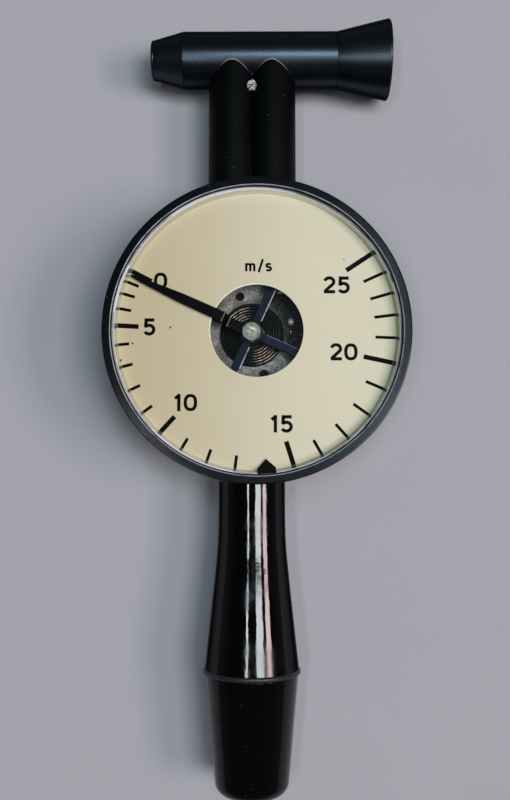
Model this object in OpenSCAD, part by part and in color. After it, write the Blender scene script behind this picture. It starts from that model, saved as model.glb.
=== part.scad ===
// Hand anemometer: a round dial case on a turned handle, with two wind pipes and a nozzle head.
// It lies on its back. +Z points out of the dial, +Y points to the head, +X points to the bell.
// The origin is on the rotor's axis, in the plane of the flat back. The round case and its dial sit
// a little to the right of that axis, as they do on the instrument.
// Wind blows into the nozzle, down the inlet pipe and round a tapering tunnel in the case.
// There it pushes a flat vane round against a hairspring, and leaves by the other pipe and the bell.

/* [Case] */
// Outside diameter of the bezel
bezel_d = 100; // [99:0.5:101]
// Depth from the flat back to the front of the bezel
case_depth = 40; // [40:0.5:42]
// Thickness of the case's side wall
case_wall = 3; // [2.5:0.5:3]
// Thickness of the case's back
case_floor = 4; // [3.5:0.5:4]
// Rounding of the case's back edge
back_round = 2; // [1:0.5:3]
// Distance from the rotor's axis to the case's axis, towards the bell
case_x = 1.75; // [0:0.05:2]

/* [Dial] */
// Diameter of the hole in the middle of the dial
dial_hole_d = 30.5; // [29:0.5:31]
// Visible radius of the dial inside the spacer ring
dial_sight_r = 45.5; // [45.4:0.1:45.6]
// Thickness of the dial plate
dial_t = 1; // [0.8:0.1:1.2]
// Direction of the black index tab, in degrees from +X
tab_angle = -86; // [-90:1:-80]

/* [Rotor] */
// Direction of the pointer at zero wind, in degrees from +X
pointer_angle = 155.5; // [153:0.5:157]
// Length of the pointer from the axis to its tip
pointer_len = 43.2; // [42:0.1:44]
// Direction of the vane at zero wind, in degrees from +X
vane_angle = 115.5; // [113:0.5:118]
// Length of the vane from the axis to its edge
vane_len = 37.2; // [36:0.1:37.3]
// Radius of the rotor shaft
shaft_r = 1.5; // [1.3:0.1:1.5]
// Radial running clearance of the shaft and of the spring carrier
run_gap = 0.05; // [0.03:0.01:0.08]

/* [Hairspring] */
// Number of turns of the hairspring
spring_turns = 8; // [6:1:9]
// Thickness of the hairspring's strip
spring_strip = 0.22; // [0.18:0.02:0.26]

/* [Wind tunnel] */
// Radius of the tunnel's outer wall where the wind enters
tunnel_r_in = 37.8; // [37.6:0.1:38]
// Radius of the tunnel's outer wall where the wind leaves
tunnel_r_out = 43; // [42:0.1:43]

/* [Head and pipes] */
// Outside radius of each pipe
pipe_r = 8.5; // [8.4:0.05:8.6]
// Inside radius of each pipe
pipe_bore_r = 5.3; // [5:0.1:5.3]
// Distance from the middle plane to each pipe's axis
pipe_x = 6.9; // [6.9:0.05:7]
// Height of the pipes' axes above the back
pipe_z = 14.8; // [14.6:0.1:15]
// Distance from the dial's axis to the head's axis
head_y = 101.2; // [98:0.1:104]
// Height of the head's axis above the back
head_z = 14.2; // [14.1:0.1:14.4]
// Outside radius of the head tube
head_r = 9.75; // [9.7:0.05:9.9]
// Bore of the head tube
head_bore_r = 7.6; // [7.4:0.1:7.6]
// Outside radius of the bell's mouth
bell_r = 13.9; // [13:0.1:14]
// Outside radius of the nozzle's tip
nozzle_r = 6.9; // [6.5:0.1:7.2]

/* [Handle] */
// Radius of the handle's neck
neck_r = 11.2; // [11:0.1:11.6]
// Height of the handle's axis above the back
handle_z = 18; // [17.6:0.1:18.4]
// Radius of the ring between the grip and the end cap
ring_r = 16.3; // [16:0.1:16.5]
// Distance from the dial's axis to the handle's end
handle_end = 152; // [148:0.5:156]

/* [Hidden] */
$fn = 96;
// Length of a cutter that has to pass right through
through = 20;

// Case and bezel
bezel_r = bezel_d / 2;
case_r = bezel_r - 1.5;
cavity_r = case_r - case_wall;
lip_r = bezel_r - 2.8;
lip_t = 1.1;
skirt_len = 10.2;
skirt_gap = 0.15;
edge_round = 0.8;
lip_bevel = 0.6;

// Levels of the dial stack, counted down from the front of the bezel
flange_top = case_depth - lip_t;
crystal_flange_t = 1.2;
crystal_top = case_depth - 0.4;
spacer_top = flange_top - crystal_flange_t;
spacer_h = 2.4;
dial_top = spacer_top - spacer_h;
rim_z = dial_top - dial_t;
flange_r = case_r - 0.3;
crystal_r = lip_r - 0.3;
tab_half_w = 2.95;
tab_gap = 0.1;
tab_back_r = dial_sight_r + 1.1;

// Tunnel block and its cover
block_r = cavity_r - 0.3;
chamber_z = case_floor + 2;
cover_z = case_floor + 17.6;
cover_t = 1.2;
cover_top = cover_z + cover_t;
dam_half_angle = 6;
tunnel_start = 105;
tunnel_sweep = 330;
port_y = 34.5;
screw_ring_r = block_r - 2;
case_screw_angles = [120, 220, 320];
case_screw_r = 1.5;
case_screw_head_r = 2.9;
case_screw_end = 12;
cover_screw_angles = [140, 195, 245, 300];
cover_screw_r = 1.1;
cover_screw_depth = 6;

// Bearings and hairspring
bush_r = 3.2;
bush_flange_r = 4.4;
bush_flange_t = 0.6;
thrust_t = 0.5;
carrier_in_r = 10.85;
carrier_out_r = 17.5;
carrier_z = cover_top + 0.05;
carrier_top = cover_top + 2.3;
spanner_hole_r = 1.55;
spanner_ring_r = 13.85;
spanner_angle = 107;
stud_angle = 18.5;
stud_ring_r = 13.9;
stud_r = 1.2;
spring_z = cover_top + 0.8;
pocket_in_r = stud_ring_r - stud_r - 0.1;
pocket_out_r = 15.9;
pocket_z = carrier_z + 0.7;
pocket_end = 50;
spring_h = 1.2;
collet_r = 2.6;
spring_out_r = 9.9;
clamp_ring_r = 18.95;
clamp_angles = [60, 180, 300];
clamp_screw_r = 0.9;
clamp_sleeve_r = 1.3;
clamp_washer_r = 2.4;
clamp_washer_t = 0.4;

// Rotor
hub_r = 4.8;
hub_z = chamber_z + 1;
hub_top = cover_z - 0.6;
vane_t = 1;
arm_w = 3;
arm_t = 0.8;
arm_len = 21.5;
cross_z = cover_top + 7.4;
pointer_t = 0.5;
pointer_root_z = cross_z + arm_t;
pointer_z = dial_top + 1.3;
nut_across = 6;
nut_h = 2.2;
nut_z = pointer_root_z + pointer_t;
shaft_top = nut_z + nut_h + 0.5;

// Head
nozzle_tip_x = -35.8;
nozzle_x = -24.4;
bell_x = 30.1;
bell_mouth_x = 48.7;
spigot_len = 7;
nozzle_bore_r = 5;
bell_bore_r = 6.4;
fit = 0.02;
screw_tilt = 35;
screw_seat_y = 90.5;
screw_seat_z = 18.8;
screw_head_r = 1.7;
screw_head_h = 1.7;
screw_shank_r = 1;
screw_shank_len = 7.3;
septum_half = 1.8;

// Boss of the pipes and handle
boss_end = case_r + 2.5;
socket_y = case_r - 2.2;
seal_t = 0.8;
boss_wall = 2;
handle_y = case_r + 0.7;
stud_rod_r = 3;
stud_rod_end = 138;
handle_nut_across = 10;
handle_nut_h = 3;
handle_nut_y = cavity_r - 0.7;
nut_pocket_w = 12.8;
nut_pocket_y = cavity_r - 4.1;
ring_y = 111.2;
ring_t = 1.7;
grip_slope = 0.1094;
grip_corner = 69.6;
grip_blend = 6;
cap_slope = 0.105;
cap_top_r = 15.6;
cap_round = 4.5;
cap_flat_r = 6;

// Radius of the tunnel's outer wall in a direction, growing steadily from inlet to outlet
function tunnel_r(a) = tunnel_r_in + (tunnel_r_out - tunnel_r_in) * (a - tunnel_start) / tunnel_sweep;

// Radius of the grip at a distance from the dial's axis: a straight neck that runs over into a cone
function grip_r(y) = neck_r + grip_slope / 2
    * (y - grip_corner + sqrt(pow(y - grip_corner, 2) + pow(grip_blend, 2)));

// Points of an arc about a centre, from one angle to another
function arc(cx, cy, r, a0, a1, steps = 8) =
    [for (i = [0 : steps]) let (a = a0 + (a1 - a0) * i / steps) [cx + r * cos(a), cy + r * sin(a)]];

function polar(r, a) = [r * cos(a), r * sin(a)];

// A cylinder along +Y that starts at y0
module along_y(r, y0, y1, x = 0, z = 0) {
    translate([x, y0, z]) rotate([-90, 0, 0]) cylinder(r = r, h = y1 - y0);
}

// A cylinder along +X that starts at x0, on the head's axis
module along_head(r, x0, x1) {
    translate([x0, head_y, head_z]) rotate([0, 90, 0]) cylinder(r = r, h = x1 - x0);
}

// A shape turned about the head's axis from points of (distance along X, radius)
module turned_on_head(points) {
    translate([0, head_y, head_z]) rotate([0, 90, 0])
        rotate_extrude() polygon([for (p = points) [p[1], p[0]]]);
}

// A shape turned about the handle's axis from points of (distance from the dial's axis, radius)
module turned_on_handle(points) {
    translate([0, 0, handle_z]) rotate([90, 0, 0])
        rotate_extrude() polygon([for (p = points) [p[1], p[0]]]);
}

// A flat ring
module ring(r_in, r_out, z0, z1) {
    difference() {
        translate([0, 0, z0]) cylinder(r = r_out, h = z1 - z0);
        translate([0, 0, z0 - 1]) cylinder(r = r_in, h = z1 - z0 + 2);
    }
}

// A wedge that covers the directions from a0 to a1
module wedge(a0, a1, r, z0, z1) {
    translate([0, 0, z0]) linear_extrude(z1 - z0)
        polygon(concat([[0, 0]], [for (i = [0 : 6]) polar(r, a0 + (a1 - a0) * i / 6)]));
}

// The case's own axis
module on_case_axis() {
    translate([case_x, 0, 0]) children();
}

// Both pipe axes
module at_pipes() {
    for (side = [-1, 1]) translate([side * pipe_x, 0, pipe_z]) children();
}

// The head screw's own frame: the origin is on its seat and +Z runs outwards along the screw
module on_head_screw() {
    translate([0, screw_seat_y, screw_seat_z]) rotate([screw_tilt, 0, 0]) children();
}

// Room for the head screw's shank
module screw_bore() {
    on_head_screw() translate([0, 0, -through / 2]) cylinder(r = screw_shank_r, h = through);
}

// A slotted cheese-head screw whose seat is at z = 0
module cheese_screw(head_r, head_h, shank_r, shank_len, slot_w) {
    difference() {
        union() {
            cylinder(r = head_r, h = head_h);
            translate([0, 0, -shank_len]) cylinder(r = shank_r, h = shank_len);
        }
        translate([-head_r - 1, -slot_w / 2, head_h * 0.6]) cube([2 * head_r + 2, slot_w, head_h]);
    }
}

// A cylindrical bush with a flange on top, and a bore along its axis
module flanged_bush(z0, flange_z, bore_z) {
    difference() {
        union() {
            translate([0, 0, z0]) cylinder(r = bush_r, h = flange_z - z0);
            translate([0, 0, flange_z]) cylinder(r = bush_flange_r, h = bush_flange_t);
        }
        translate([0, 0, bore_z]) cylinder(r = shaft_r + run_gap, h = through);
    }
}

module case_screw_hole() {
    translate([0, 0, -1]) cylinder(r = case_screw_r, h = through);
    translate([0, 0, -0.01]) cylinder(r1 = case_screw_head_r, r2 = case_screw_r, h = 1.41);
}

module case_body() {
    color("#1b1c1e") difference() {
        union() {
            on_case_axis() rotate_extrude() polygon(concat(
                [[0, 0]],
                arc(case_r - back_round, back_round, back_round, -90, 0),
                [[case_r, rim_z], [0, rim_z]]));
            // Boss that holds both pipes
            at_pipes() along_y(pipe_r + boss_wall, cavity_r - 3, boss_end);
            translate([-pipe_x, cavity_r - 3, pipe_z - pipe_r - boss_wall])
                cube([2 * pipe_x, boss_end - cavity_r + 3, 2 * (pipe_r + boss_wall)]);
            // Pad that the handle stands on
            along_y(neck_r, -handle_y, -cavity_r + 3, 0, handle_z);
        }
        on_case_axis() translate([0, 0, case_floor]) cylinder(r = cavity_r, h = case_depth);
        at_pipes() along_y(pipe_bore_r, cavity_r - 6, boss_end + 1);
        at_pipes() along_y(pipe_r + fit, socket_y, boss_end + 1);
        along_y(stud_rod_r + fit, -handle_y - 1, -cavity_r + 3, 0, handle_z);
        on_case_axis() for (a = case_screw_angles) translate(polar(screw_ring_r, a)) case_screw_hole();
    }
}

module bezel() {
    skirt_r = case_r + skirt_gap;
    color("#202124") on_case_axis() rotate_extrude() polygon(concat(
        [[skirt_r, case_depth - skirt_len], [bezel_r - 0.3, case_depth - skirt_len],
         [bezel_r, case_depth - skirt_len + 0.3]],
        arc(bezel_r - edge_round, case_depth - edge_round, edge_round, 0, 90),
        [[lip_r + lip_bevel, case_depth], [lip_r, case_depth - lip_bevel], [lip_r, flange_top],
         [skirt_r, flange_top]]));
}

module crystal() {
    bevel = 0.5;
    color("#dfe6e0", 0.3) on_case_axis() rotate_extrude() polygon([
        [0, spacer_top], [flange_r, spacer_top], [flange_r, flange_top], [crystal_r, flange_top],
        [crystal_r, crystal_top - bevel], [crystal_r - bevel, crystal_top], [0, crystal_top]]);
}

module crystal_gasket() {
    color("#0d0d0e") on_case_axis() ring(crystal_r, lip_r, flange_top, flange_top + 0.35);
}

module spacer_ring() {
    color("#d3d1bd") on_case_axis() difference() {
        rotate_extrude() polygon([
            [dial_sight_r, dial_top], [flange_r, dial_top], [flange_r, spacer_top],
            [dial_sight_r + 1, spacer_top]]);
        rotate([0, 0, tab_angle]) translate([dial_sight_r - 2, -tab_half_w - tab_gap, dial_top - 1])
            cube([tab_back_r + tab_gap - dial_sight_r + 2, 2 * (tab_half_w + tab_gap), 10]);
    }
}

module dial_plate() {
    color("#cbc3a3") on_case_axis() ring(dial_hole_d / 2, flange_r - 1, rim_z, dial_top);
}

// A black tab that locates the dial: a low pointed tongue and a taller root in the spacer's notch
module index_tab() {
    tip_r = dial_sight_r - 3.6;
    root_r = dial_sight_r - 0.7;
    tongue_t = 0.8;
    color("#151517") on_case_axis() rotate([0, 0, tab_angle]) {
        translate([0, 0, dial_top]) linear_extrude(tongue_t)
            polygon([[tip_r, 0], [root_r, -tab_half_w], [tab_back_r, -tab_half_w],
                     [tab_back_r, tab_half_w], [root_r, tab_half_w]]);
        translate([root_r, -tab_half_w, dial_top + tongue_t])
            cube([tab_back_r - root_r, 2 * tab_half_w, spacer_h - tongue_t - tab_gap]);
    }
}

// Plan of the air space: a spiral with the dam between its end and its start
module tunnel_plan() {
    steps = 66;
    a0 = 90 + dam_half_angle;
    sweep = 360 - 2 * dam_half_angle;
    wall = [for (i = [0 : steps]) let (a = a0 + sweep * i / steps) polar(tunnel_r(a), a)];
    polygon(concat([[0, 0]], wall));
}

// Room for the nut that holds the handle
module nut_pocket(z0) {
    translate([-nut_pocket_w / 2, -cavity_r - 1, z0])
        cube([nut_pocket_w, cavity_r + 1 - nut_pocket_y, through]);
}

module tunnel_block() {
    color("#5b5d60") difference() {
        on_case_axis() translate([0, 0, case_floor]) cylinder(r = block_r, h = cover_z - case_floor);
        translate([0, 0, chamber_z]) linear_extrude(cover_z) tunnel_plan();
        translate([0, 0, chamber_z]) cylinder(r = hub_r + 0.5, h = cover_z);
        translate([0, 0, case_floor - 1]) cylinder(r = bush_r, h = 5);
        at_pipes() along_y(pipe_bore_r, port_y, cavity_r + 1);
        nut_pocket(handle_z - nut_pocket_w / 2);
        on_case_axis() for (a = case_screw_angles) translate(polar(screw_ring_r, a))
            cylinder(r = case_screw_r, h = case_screw_end);
        on_case_axis() for (a = cover_screw_angles)
            translate(concat(polar(screw_ring_r, a), [cover_z - cover_screw_depth]))
                cylinder(r = cover_screw_r, h = through);
    }
}

module chamber_cover() {
    color("#232427") difference() {
        union() {
            on_case_axis() translate([0, 0, cover_z]) cylinder(r = block_r, h = cover_t);
            // Spigot that the spring carrier turns on
            ring(carrier_in_r - run_gap - 0.7, carrier_in_r - run_gap, cover_z + 0.5, cover_top + 0.7);
        }
        translate([0, 0, cover_z - 1]) cylinder(r = bush_r, h = 3);
        nut_pocket(cover_z - 1);
        on_case_axis() for (a = cover_screw_angles) translate(concat(polar(screw_ring_r, a), [cover_z - 1]))
            cylinder(r = cover_screw_r, h = through);
        for (a = clamp_angles) translate(concat(polar(clamp_ring_r, a), [cover_z - 1]))
            cylinder(r = clamp_screw_r, h = through);
    }
}

module cover_screws() {
    color("#a9abad") on_case_axis() for (a = cover_screw_angles)
        translate(concat(polar(screw_ring_r, a), [cover_top]))
            rotate([0, 0, a]) cheese_screw(2, 1.3, cover_screw_r, cover_screw_depth, 0.5);
}

// Countersunk screws through the back into the tunnel block
module case_screws() {
    sink = 0.2;
    cone_h = 1.2;
    slot_w = 0.7;
    slot_turn = 25;
    color("#a9abad") on_case_axis() for (a = case_screw_angles) translate(polar(screw_ring_r, a))
        difference() {
            union() {
                translate([0, 0, sink])
                    cylinder(r1 = case_screw_head_r - 0.3, r2 = case_screw_r, h = cone_h);
                translate([0, 0, sink + cone_h - 0.1])
                    cylinder(r = case_screw_r, h = case_screw_end - 3);
            }
            rotate([0, 0, a + slot_turn]) translate([-4, -slot_w / 2, -1]) cube([8, slot_w, 1.9]);
        }
}

module front_bearing() {
    color("#b08d4c") flanged_bush(cover_z, cover_top, cover_z - 1);
}

module rear_bearing() {
    color("#b08d4c") flanged_bush(case_floor, chamber_z, case_floor + thrust_t);
}

module rotor_shaft() {
    color("#c9ccd0") difference() {
        translate([0, 0, case_floor + thrust_t + 0.05])
            cylinder(r = shaft_r, h = shaft_top - case_floor - thrust_t - 0.05);
        rotate([0, 0, pointer_angle + 160]) translate([-3, -0.3, shaft_top - 0.6]) cube([6, 0.6, 2]);
    }
}

module vane_plate(extra) {
    root_r = 2.2;
    translate([root_r, -vane_t / 2, hub_z - extra])
        cube([vane_len - root_r, vane_t, hub_top - hub_z + 2 * extra]);
}

module rivet_bores(r, half) {
    for (z = [hub_z + 3.5, hub_top - 3.5])
        translate([3.4, half, z]) rotate([90, 0, 0]) cylinder(r = r, h = 2 * half);
}

module vane_hub() {
    color("#8f9296") rotate([0, 0, vane_angle]) difference() {
        translate([0, 0, hub_z]) cylinder(r = hub_r, h = hub_top - hub_z);
        translate([0, 0, hub_z - 1]) cylinder(r = shaft_r, h = hub_top - hub_z + 2);
        vane_plate(1);
        rivet_bores(0.7, 6);
    }
}

module vane() {
    color("#c2c5c8") rotate([0, 0, vane_angle]) difference() {
        vane_plate(0);
        rivet_bores(0.7, 6);
    }
}

module vane_rivets() {
    color("#b08d4c") rotate([0, 0, vane_angle]) rivet_bores(0.7, 3.2);
}

module spring_collet() {
    color("#b08d4c") ring(shaft_r, collet_r, spring_z - 0.05, spring_z + spring_h + 0.1);
}

// The strip's centre line: a spiral, a quick swing outwards, then an arc to the side of the stud
swing_start = -40;
swing_end = -14;
strip_end = stud_angle - 3.4;
lead_ring_r = stud_ring_r - 1;
function spring_r(t) = collet_r + spring_strip / 2 + (spring_out_r - collet_r) * t;
function swing_r(t) = spring_r(1) + (lead_ring_r - spring_r(1)) * t * t * (3 - 2 * t);
spring_line = concat(
    [for (i = [0 : 30 * spring_turns]) let (t = i / (30 * spring_turns))
        [spring_r(t), swing_start - 360 * spring_turns * (1 - t)]],
    [for (i = [1 : 14]) [swing_r(i / 14), swing_start + (swing_end - swing_start) * i / 14]],
    [for (i = [1 : 8]) [lead_ring_r, swing_end + (strip_end - swing_end) * i / 8]]);

module hairspring() {
    half = spring_strip / 2;
    last = len(spring_line) - 1;
    color("#b97a4a") translate([0, 0, spring_z]) linear_extrude(spring_h) polygon(concat(
        [for (p = spring_line) polar(p[0] - half, p[1])],
        [for (i = [last : -1 : 0]) polar(spring_line[i][0] + half, spring_line[i][1])]));
}

// A ring that carries the hairspring's stud. It turns on the cover's spigot to set zero.
module spring_carrier() {
    color("#77787a") difference() {
        ring(carrier_in_r, carrier_out_r, carrier_z, carrier_top);
        for (a = [spanner_angle, spanner_angle + 180])
            translate(concat(polar(spanner_ring_r, a), [carrier_z - 1]))
                cylinder(r = spanner_hole_r, h = through);
        // Curved pocket for the stud, and the notch that lets the strip through
        intersection() {
            ring(pocket_in_r, pocket_out_r, pocket_z, carrier_top + 1);
            wedge(swing_start + 4, pocket_end, 30, carrier_z, carrier_top + 2);
        }
        intersection() {
            ring(carrier_in_r - 1, pocket_in_r + 1, spring_z - 0.2, carrier_top + 1);
            wedge(swing_start + 5, swing_end, 30, carrier_z, carrier_top + 2);
        }
    }
}

module spring_stud() {
    color("#d8dadc") translate(concat(polar(stud_ring_r, stud_angle), [0])) {
        translate([0, 0, pocket_z]) cylinder(r = stud_r, h = 2.3);
        translate([0, 0, pocket_z + 2.3]) intersection() {
            sphere(r = stud_r);
            translate([-2, -2, 0]) cube([4, 4, 4]);
        }
    }
}

// Screws with wide washers that hold the carrier down by its edge
module carrier_screws() {
    washer_z = carrier_top + run_gap;
    color("#a9abad") for (a = clamp_angles) translate(concat(polar(clamp_ring_r, a), [0])) {
        translate([0, 0, cover_z]) cylinder(r = clamp_screw_r, h = cover_t);
        translate([0, 0, cover_top]) cylinder(r = clamp_sleeve_r, h = washer_z - cover_top);
        translate([0, 0, washer_z]) cylinder(r = clamp_washer_r, h = clamp_washer_t);
        translate([0, 0, washer_z + clamp_washer_t]) cheese_screw(1.7, 1, 0.8, 0.3, 0.4);
    }
}

// Four arms on the shaft: one backs the pointer and three carry the balance weights
module pointer_cross() {
    color("#232b42") rotate([0, 0, pointer_angle]) difference() {
        union() {
            translate([0, 0, cross_z]) cylinder(r = 3.6, h = arm_t);
            for (a = [0, 90]) rotate([0, 0, a]) translate([-arm_len, -arm_w / 2, cross_z])
                cube([2 * arm_len, arm_w, arm_t]);
        }
        translate([0, 0, cross_z - 1]) cylinder(r = shaft_r, h = 3);
    }
}

module balance_weights() {
    color("#b08d4c") for (a = [90, 180, 270]) rotate([0, 0, pointer_angle + a]) difference() {
        translate([arm_len - 3.4, -2.3, cross_z - 0.8]) cube([2.6, 4.6, arm_t + 1.6]);
        translate([arm_len - 5, -arm_w / 2, cross_z]) cube([6, arm_w, arm_t]);
    }
}

// A flat blade with a root under the nut, a step up through the dial's hole and a lance-shaped end
module pointer() {
    step_r = 8.4;
    step_end = step_r + 1.7;
    root_w = 1.75;
    waist_r = 25;
    waist_w = 1.6;
    taper_r = 37;
    taper_w = 0.95;
    tip_w = 0.4;
    color("#141416") rotate([0, 0, pointer_angle]) difference() {
        union() {
            translate([0, 0, pointer_root_z]) cylinder(r = 3, h = pointer_t);
            translate([0, -root_w, pointer_root_z]) cube([step_r, 2 * root_w, pointer_t]);
            translate([0, root_w, 0]) rotate([90, 0, 0]) linear_extrude(2 * root_w) polygon([
                [step_r - 0.4, pointer_root_z], [step_r, pointer_root_z],
                [step_end, pointer_z], [step_end + 0.4, pointer_z],
                [step_end + 0.4, pointer_z + pointer_t], [step_end - 0.3, pointer_z + pointer_t],
                [step_r - 0.3, pointer_root_z + pointer_t], [step_r - 0.4, pointer_root_z + pointer_t]]);
            translate([0, 0, pointer_z]) linear_extrude(pointer_t) polygon(concat(
                [[step_end, -root_w], [waist_r, -waist_w], [taper_r, -taper_w]],
                arc(pointer_len - tip_w, 0, tip_w, -80, 80, 6),
                [[taper_r, taper_w], [waist_r, waist_w], [step_end, root_w]]));
        }
        translate([0, 0, cross_z]) cylinder(r = shaft_r, h = 3);
    }
}

module hub_nut() {
    across_corners = nut_across / cos(30);
    color("#cfd2d4") translate([0, 0, nut_z]) difference() {
        intersection() {
            rotate([0, 0, 30]) cylinder(d = across_corners, h = nut_h, $fn = 6);
            cylinder(r1 = across_corners / 2 + 1.6, r2 = nut_across / 2 - 0.1, h = nut_h);
        }
        translate([0, 0, -1]) cylinder(r = shaft_r, h = nut_h + 2);
    }
}

module head_tube() {
    color("#1c1d20") difference() {
        along_head(head_r, nozzle_x, bell_x);
        along_head(head_bore_r, nozzle_x - 1, bell_x + 1);
        at_pipes() along_y(pipe_r + fit, head_y - through, head_y);
    }
}

module inlet_nozzle() {
    lip = 0.7;
    color("#1c1d20") turned_on_head(concat(
        [[nozzle_x, head_r]],
        arc(nozzle_tip_x + lip, nozzle_r - lip, lip, 75, 180, 6),
        arc(nozzle_tip_x + 1, nozzle_bore_r + 1, 1, 180, 270, 6),
        [[nozzle_x + spigot_len, nozzle_bore_r], [nozzle_x + spigot_len, head_bore_r],
         [nozzle_x, head_bore_r]]));
}

module outlet_bell() {
    rim = 0.6;
    color("#1c1d20") turned_on_head(concat(
        [[bell_x, head_r]],
        arc(bell_mouth_x - rim, bell_r - rim, rim, 105, 0, 6),
        arc(bell_mouth_x - rim, bell_r - rim, rim, 0, -75, 6),
        [[bell_x, bell_bore_r + 1], [bell_x - 3, bell_bore_r], [bell_x - spigot_len, bell_bore_r],
         [bell_x - spigot_len, head_bore_r], [bell_x, head_bore_r]]));
}

// Wall across the head tube that keeps the wind and the outgoing air apart
module head_septum() {
    color("#2a2b2e") difference() {
        along_head(head_bore_r, -septum_half, septum_half);
        screw_bore();
    }
}

// The screw that runs down the joint of the pipes into the septum, and so locks the head to both
module head_screw() {
    color("#c4c6c8") on_head_screw()
        cheese_screw(screw_head_r, screw_head_h, screw_shank_r, screw_shank_len, 0.6);
}

// A round pipe with a flat side, on which it lies against the other pipe
module pipe(side) {
    start = socket_y + seal_t;
    color("#17181a") difference() {
        along_y(pipe_r, start, head_y, side * pipe_x, pipe_z);
        translate([-side * (pipe_r - fit) - pipe_r, start - 1, pipe_z - pipe_r])
            cube([2 * pipe_r, head_y - start + 2, 2 * pipe_r]);
        along_y(pipe_bore_r, start - 1, head_y + 1, side * pipe_x, pipe_z);
        along_head(head_bore_r, nozzle_x, bell_x);
        screw_bore();
        on_head_screw() cylinder(r = screw_head_r + 0.1, h = through);
    }
}

module inlet_pipe() {
    pipe(-1);
}

module outlet_pipe() {
    pipe(1);
}

module pipe_seals() {
    color("#0d0d0e") for (side = [-1, 1]) difference() {
        along_y(pipe_r - 0.1, socket_y, socket_y + seal_t, side * pipe_x, pipe_z);
        along_y(pipe_bore_r, socket_y - 1, socket_y + 2, side * pipe_x, pipe_z);
    }
}

module handle_stud() {
    color("#b9bbbd") along_y(stud_rod_r, -stud_rod_end, -handle_nut_y + handle_nut_h + 0.2, 0, handle_z);
}

module handle_nut() {
    color("#b9bbbd") translate([0, -handle_nut_y, handle_z]) rotate([-90, 0, 0]) difference() {
        cylinder(d = handle_nut_across / cos(30), h = handle_nut_h, $fn = 6);
        translate([0, 0, -1]) cylinder(r = stud_rod_r, h = handle_nut_h + 2);
    }
}

module handle_grip() {
    color("#0b0b0c") difference() {
        turned_on_handle(concat(
            [[handle_y, 0]],
            [for (i = [0 : 16]) let (y = handle_y + (ring_y - handle_y) * i / 16) [y, grip_r(y)]],
            [[ring_y, 0]]));
        along_y(stud_rod_r, -ring_y - 1, -handle_y + 1, 0, handle_z);
    }
}

module handle_ring() {
    color("#161618") difference() {
        turned_on_handle(concat(
            [[ring_y, 0], [ring_y, ring_r - ring_t]],
            arc(ring_y + ring_t / 2, ring_r - ring_t / 2, ring_t / 2, 180, 0, 10),
            [[ring_y + ring_t, ring_r - ring_t], [ring_y + ring_t, 0]]));
        along_y(stud_rod_r, -ring_y - 5, -ring_y + 5, 0, handle_z);
    }
}

module handle_cap() {
    top = ring_y + ring_t;
    turn_y = handle_end - cap_round;
    turn_r = cap_top_r - cap_slope * (turn_y - top);
    color("#0b0b0c") difference() {
        turned_on_handle(concat(
            [[top, 0], [top, cap_top_r], [turn_y - 6, turn_r + 5.6 * cap_slope]],
            arc(turn_y, turn_r - cap_round - 0.1, cap_round, 84, 0, 10),
            [[handle_end, cap_flat_r - 1], [handle_end, 0]]));
        along_y(stud_rod_r, -stud_rod_end, -top + 1, 0, handle_z);
    }
}

case_body();
bezel();
crystal();
crystal_gasket();
spacer_ring();
dial_plate();
index_tab();
tunnel_block();
chamber_cover();
cover_screws();
case_screws();
front_bearing();
rear_bearing();
rotor_shaft();
vane_hub();
vane();
vane_rivets();
spring_collet();
hairspring();
spring_carrier();
spring_stud();
carrier_screws();
pointer_cross();
balance_weights();
pointer();
hub_nut();
head_tube();
inlet_nozzle();
outlet_bell();
head_septum();
head_screw();
inlet_pipe();
outlet_pipe();
pipe_seals();
handle_stud();
handle_nut();
handle_grip();
handle_ring();
handle_cap();
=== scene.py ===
# %% [markdown]
# # Dressing a hand anemometer
#
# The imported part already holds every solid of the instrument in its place. This lesson gives each of
# them its finish, rebuilds the pieces whose curves and edges a camera looks at closely, prints the
# dial, and lights it all. Lengths are written in millimetres, and become metres when a mesh is made.

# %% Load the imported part
import math

import bmesh
import bpy
import numpy as np
from mathutils import Matrix, Vector


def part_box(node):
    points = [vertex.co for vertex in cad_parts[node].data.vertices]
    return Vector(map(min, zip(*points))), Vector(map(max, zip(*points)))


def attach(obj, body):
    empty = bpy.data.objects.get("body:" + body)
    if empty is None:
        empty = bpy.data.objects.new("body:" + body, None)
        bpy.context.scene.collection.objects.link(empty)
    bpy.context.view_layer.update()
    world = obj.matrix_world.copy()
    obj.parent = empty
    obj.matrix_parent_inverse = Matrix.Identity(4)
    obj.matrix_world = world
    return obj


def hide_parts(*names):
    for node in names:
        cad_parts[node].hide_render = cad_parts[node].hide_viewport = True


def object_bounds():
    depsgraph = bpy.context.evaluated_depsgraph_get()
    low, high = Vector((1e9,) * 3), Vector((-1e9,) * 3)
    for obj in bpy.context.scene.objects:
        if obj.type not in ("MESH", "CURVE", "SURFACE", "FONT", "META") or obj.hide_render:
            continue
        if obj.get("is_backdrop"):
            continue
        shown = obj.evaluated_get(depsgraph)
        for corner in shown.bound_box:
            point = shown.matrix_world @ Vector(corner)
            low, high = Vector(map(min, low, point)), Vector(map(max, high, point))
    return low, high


MM = 0.001
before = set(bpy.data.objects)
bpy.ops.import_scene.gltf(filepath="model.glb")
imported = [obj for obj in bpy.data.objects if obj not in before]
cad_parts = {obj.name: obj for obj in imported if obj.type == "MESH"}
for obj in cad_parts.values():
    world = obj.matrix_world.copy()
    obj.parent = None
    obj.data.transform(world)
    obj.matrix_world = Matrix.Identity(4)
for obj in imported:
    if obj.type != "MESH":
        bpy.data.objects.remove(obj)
cad_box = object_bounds()


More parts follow.
